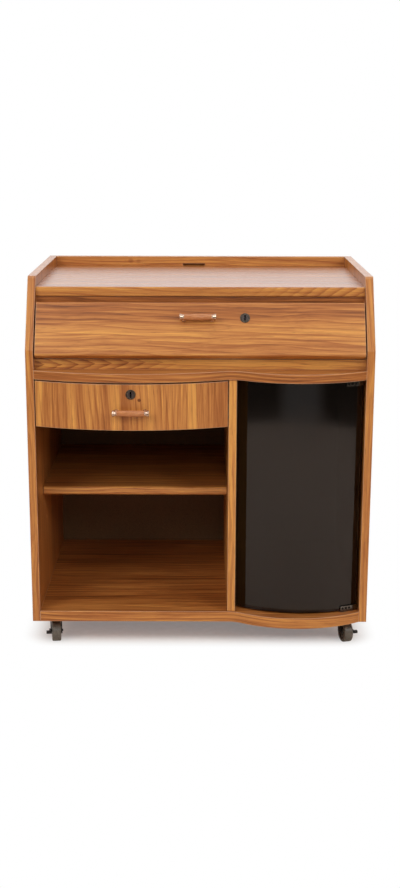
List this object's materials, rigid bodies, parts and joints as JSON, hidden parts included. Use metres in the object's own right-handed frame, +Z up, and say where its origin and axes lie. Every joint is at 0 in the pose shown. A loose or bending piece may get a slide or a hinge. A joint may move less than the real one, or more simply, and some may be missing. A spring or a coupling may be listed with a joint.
{
  "type": "tv cabinet",
  "caption": "Wheeled television cabinet with a tray top, sloping drop front, bow-fronted drawer, open shelf bay and curved smoked-glass door.",
  "frame": {"origin": "on the floor at the centre of the outline", "axes": "+Z up, -Y the front, +X to the right as seen from the front"},
  "size_m": [0.78, 0.6058, 0.863],
  "materials": {
    "teak_laminate": "satin wood-grain laminate, orange-brown teak look",
    "hardboard": "smooth hardboard",
    "box_wood": "plain wood-look foil",
    "grip_wood": "lacquered wood",
    "pull_metal": "satin plated",
    "zinc_steel": "zinc plated",
    "lock_metal": "dark bronzed",
    "black_rubber": "matt",
    "black_plastic": "matt",
    "smoked_glass": "smoked, polished",
    "tread_plastic": "matt grey-olive"
  },
  "bodies": {
    "carcass": {"side_panel_left": "teak_laminate", "side_panel_right": "teak_laminate", "top_board": "teak_laminate", "gallery_rail": "teak_laminate", "top_rail": "teak_laminate", "sill_rail": "teak_laminate", "waist_board": "teak_laminate", "divider": "teak_laminate", "bottom_board": "teak_laminate", "back_panel": "hardboard", "cam_fasteners": "zinc_steel", "back_screws": "zinc_steel", "shelf": "teak_laminate", "shelf_pins": "zinc_steel", "sill_hinge_leaf": "zinc_steel", "flap_bumpers": "black_rubber", "cabinet_runners": "zinc_steel", "pivot_bushes": "black_plastic", "latch_housing": "black_plastic", "caster_plates": "zinc_steel"},
    "flap": {"flap_panel": "teak_laminate", "flap_hinge_leaf": "zinc_steel", "flap_hinge_pin": "zinc_steel", "flap_pull_frame": "pull_metal", "flap_pull_grip": "grip_wood", "flap_pull_screws": "zinc_steel", "flap_lock_case": "lock_metal"},
    "flap_lock_turn": {"flap_lock_plug": "lock_metal"},
    "flap_lock_slide": {"flap_lock_bolt": "zinc_steel"},
    "drawer": {"drawer_front": "teak_laminate", "drawer_box_front": "box_wood", "drawer_side_left": "box_wood", "drawer_side_right": "box_wood", "drawer_back": "box_wood", "drawer_bottom": "hardboard", "drawer_pull_frame": "pull_metal", "drawer_pull_grip": "grip_wood", "drawer_pull_screws": "zinc_steel", "drawer_lock_case": "lock_metal", "drawer_runners": "zinc_steel"},
    "drawer_lock_turn": {"drawer_lock_plug": "lock_metal"},
    "drawer_lock_slide": {"drawer_lock_bolt": "zinc_steel"},
    "fixed_rollers": {"cabinet_rollers": "black_plastic"},
    "moving_rollers": {"drawer_rollers": "black_plastic"},
    "glass_door": {"glass_panel": "smoked_glass", "hinge_clamp_top": "lock_metal", "hinge_clamp_bottom": "lock_metal", "clamp_screws": "zinc_steel", "strike_plate": "zinc_steel"},
    "latch": {"latch_plunger": "black_plastic"},
    "caster_front_left": {"caster_fork_front_left": "black_plastic"},
    "wheel_front_left": {"caster_wheel_front_left": "tread_plastic"},
    "brake_left": {"brake_lever_left": "black_plastic"},
    "caster_front_right": {"caster_fork_front_right": "black_plastic"},
    "wheel_front_right": {"caster_wheel_front_right": "tread_plastic"},
    "brake_right": {"brake_lever_right": "black_plastic"},
    "caster_rear_left": {"caster_fork_rear_left": "black_plastic"},
    "wheel_rear_left": {"caster_wheel_rear_left": "tread_plastic"},
    "caster_rear_right": {"caster_fork_rear_right": "black_plastic"},
    "wheel_rear_right": {"caster_wheel_rear_right": "tread_plastic"}
  },
  "joints": [
    {"name": "flap_hinge", "type": "hinge", "parent": "carcass", "child": "flap", "pos_m": [0, -0.22384, 0.6884], "axis": [1, 0, 0], "range_deg": [0, 118.3]},
    {"name": "flap_lock_key", "type": "hinge", "parent": "flap", "child": "flap_lock_turn", "pos_m": [0.1, -0.20304, 0.77555], "axis": [0, 0.8805, -0.4741], "range_deg": [0, 90]},
    {"name": "flap_lock_throw", "type": "slide", "parent": "flap", "child": "flap_lock_slide", "axis": [0, 0.4741, 0.8805], "range_m": [0, 0.008]},
    {"name": "drawer_slide", "type": "slide", "parent": "carcass", "child": "drawer", "axis": [0, -1, 0], "range_m": [0, 0.3]},
    {"name": "drawer_lock_key", "type": "hinge", "parent": "drawer", "child": "drawer_lock_turn", "pos_m": [-0.15375, -0.27995, 0.616], "axis": [0, 1, 0], "range_deg": [0, 90]},
    {"name": "drawer_lock_throw", "type": "slide", "parent": "drawer", "child": "drawer_lock_slide", "axis": [0, 0, 1], "range_m": [0, 0.008]},
    {"name": "fixed_roller_turn", "type": "hinge", "parent": "carcass", "child": "fixed_rollers", "pos_m": [-0.15375, -0.18595, 0.5591], "axis": [1, 0, 0], "range_deg": [0, 1720]},
    {"name": "moving_roller_turn", "type": "hinge", "parent": "drawer", "child": "moving_rollers", "pos_m": [-0.15375, 0.15845, 0.5591], "axis": [1, 0, 0], "range_deg": [0, 1720]},
    {"name": "glass_door_pivot", "type": "hinge", "parent": "carcass", "child": "glass_door", "pos_m": [0.35507, -0.22592, 0.3665], "axis": [0, 0, 1], "range_deg": [0, 90]},
    {"name": "latch_push", "type": "slide", "parent": "carcass", "child": "latch", "axis": [0.4552, 0.8904, 0], "range_m": [0, 0.004], "stiffness_N_per_m": 300},
    {"name": "caster_swivel_front_left", "type": "hinge", "parent": "carcass", "child": "caster_front_left", "pos_m": [-0.343, -0.17795, 0.058], "axis": [0, 0, 1], "continuous": true},
    {"name": "wheel_spin_front_left", "type": "hinge", "parent": "caster_front_left", "child": "wheel_front_left", "pos_m": [-0.34063, -0.19479, 0.025], "axis": [0.9903, 0.1392, 0], "continuous": true},
    {"name": "brake_press_left", "type": "hinge", "parent": "caster_front_left", "child": "brake_left", "pos_m": [-0.34063, -0.19479, 0.025], "axis": [0.9903, 0.1392, 0], "range_deg": [0, 20]},
    {"name": "caster_swivel_front_right", "type": "hinge", "parent": "carcass", "child": "caster_front_right", "pos_m": [0.343, -0.17795, 0.058], "axis": [0, 0, 1], "continuous": true},
    {"name": "wheel_spin_front_right", "type": "hinge", "parent": "caster_front_right", "child": "wheel_front_right", "pos_m": [0.3474, -0.19437, 0.025], "axis": [0.9659, 0.2588, 0], "continuous": true},
    {"name": "brake_press_right", "type": "hinge", "parent": "caster_front_right", "child": "brake_right", "pos_m": [0.3474, -0.19437, 0.025], "axis": [0.9659, 0.2588, 0], "range_deg": [0, 20]},
    {"name": "caster_swivel_rear_left", "type": "hinge", "parent": "carcass", "child": "caster_rear_left", "pos_m": [-0.343, 0.23955, 0.058], "axis": [0, 0, 1], "continuous": true},
    {"name": "wheel_spin_rear_left", "type": "hinge", "parent": "caster_rear_left", "child": "wheel_rear_left", "pos_m": [-0.343, 0.22255, 0.025], "axis": [1, 0, 0], "continuous": true},
    {"name": "caster_swivel_rear_right", "type": "hinge", "parent": "carcass", "child": "caster_rear_right", "pos_m": [0.343, 0.23955, 0.058], "axis": [0, 0, 1], "continuous": true},
    {"name": "wheel_spin_rear_right", "type": "hinge", "parent": "caster_rear_right", "child": "wheel_rear_right", "pos_m": [0.343, 0.22255, 0.025], "axis": [1, 0, 0], "continuous": true}
  ],
  "couplings": [
    {"joint": "flap_lock_key", "follows": "flap_lock_throw", "rad_per_m": 196.3},
    {"joint": "drawer_lock_key", "follows": "drawer_lock_throw", "rad_per_m": 196.3},
    {"joint": "fixed_roller_turn", "follows": "drawer_slide", "rad_per_m": 100},
    {"joint": "moving_roller_turn", "follows": "drawer_slide", "rad_per_m": 100}
  ]
}
